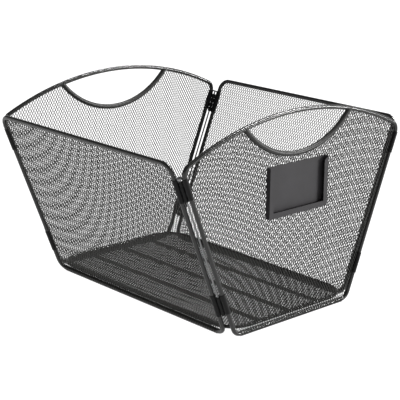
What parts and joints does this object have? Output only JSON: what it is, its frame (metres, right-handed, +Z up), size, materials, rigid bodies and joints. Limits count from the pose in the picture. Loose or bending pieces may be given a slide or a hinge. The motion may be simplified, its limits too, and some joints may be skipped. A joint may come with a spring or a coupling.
{
  "type": "magazine file holder",
  "caption": "Tapered black wire-mesh basket for files and magazines, with leaning long sides, arched ends with hand holes, pin-hinged corners, a drop-in floor and a label holder.",
  "frame": {"origin": "on the table, under the middle of the basket: halfway between the two ends and between the two long sides, level with the underside of the bottom wires", "axes": "+X towards the front end, the one with the label holder; +Y towards the right long side; +Z up"},
  "size_m": [0.3289, 0.3614, 0.2438],
  "materials": {
    "frame_wire": "satin black powder coat",
    "handle_rod": "satin black powder coat",
    "side_mesh": "satin black powder coat on expanded steel mesh",
    "end_mesh": "satin black powder coat on expanded steel mesh",
    "floor_mesh": "satin black powder coat on expanded steel mesh",
    "floor_rib": "satin black powder coat",
    "label_sheet": "satin black powder coat",
    "hinge_steel": "satin black powder coat",
    "pin_zinc": "zinc plated, slightly dull"
  },
  "bodies": {
    "basket": {"left_side_frame": "frame_wire", "left_side_mesh": "side_mesh", "right_side_frame": "frame_wire", "right_side_mesh": "side_mesh", "rear_end_frame": "frame_wire", "rear_end_mesh": "end_mesh", "rear_handle_loop": "handle_rod", "front_end_frame": "frame_wire", "front_end_mesh": "end_mesh", "front_handle_loop": "handle_rod", "label_holder": "label_sheet", "hinge_rear_left_top_end_leaf": "hinge_steel", "hinge_rear_left_top_side_leaf": "hinge_steel", "hinge_rear_left_bottom_end_leaf": "hinge_steel", "hinge_rear_left_bottom_side_leaf": "hinge_steel", "hinge_rear_right_top_end_leaf": "hinge_steel", "hinge_rear_right_top_side_leaf": "hinge_steel", "hinge_rear_right_bottom_end_leaf": "hinge_steel", "hinge_rear_right_bottom_side_leaf": "hinge_steel", "hinge_front_left_top_end_leaf": "hinge_steel", "hinge_front_left_top_side_leaf": "hinge_steel", "hinge_front_left_bottom_end_leaf": "hinge_steel", "hinge_front_left_bottom_side_leaf": "hinge_steel", "hinge_front_right_top_end_leaf": "hinge_steel", "hinge_front_right_top_side_leaf": "hinge_steel", "hinge_front_right_bottom_end_leaf": "hinge_steel", "hinge_front_right_bottom_side_leaf": "hinge_steel"},
    "floor": {"floor_frame": "frame_wire", "floor_mesh": "floor_mesh", "floor_rib_left": "floor_rib", "floor_rib_middle": "floor_rib", "floor_rib_right": "floor_rib"},
    "hinge_pin_rear_left": {"hinge_pin_rear_left": "pin_zinc"},
    "hinge_pin_rear_right": {"hinge_pin_rear_right": "pin_zinc"},
    "hinge_pin_front_left": {"hinge_pin_front_left": "pin_zinc"},
    "hinge_pin_front_right": {"hinge_pin_front_right": "pin_zinc"}
  },
  "joints": [
    {"name": "hinge_pin_rear_left_draw", "type": "slide", "parent": "basket", "child": "hinge_pin_rear_left", "axis": [0, -0.3719, 0.9283], "range_m": [0, 0.18]},
    {"name": "hinge_pin_rear_right_draw", "type": "slide", "parent": "basket", "child": "hinge_pin_rear_right", "axis": [0, 0.3719, 0.9283], "range_m": [0, 0.18]},
    {"name": "hinge_pin_front_left_draw", "type": "slide", "parent": "basket", "child": "hinge_pin_front_left", "axis": [0, -0.3719, 0.9283], "range_m": [0, 0.18]},
    {"name": "hinge_pin_front_right_draw", "type": "slide", "parent": "basket", "child": "hinge_pin_front_right", "axis": [0, 0.3719, 0.9283], "range_m": [0, 0.18]},
    {"name": "floor_lift", "type": "slide", "parent": "basket", "child": "floor", "axis": [0, 0, 1], "range_m": [0, 0.17]}
  ]
}
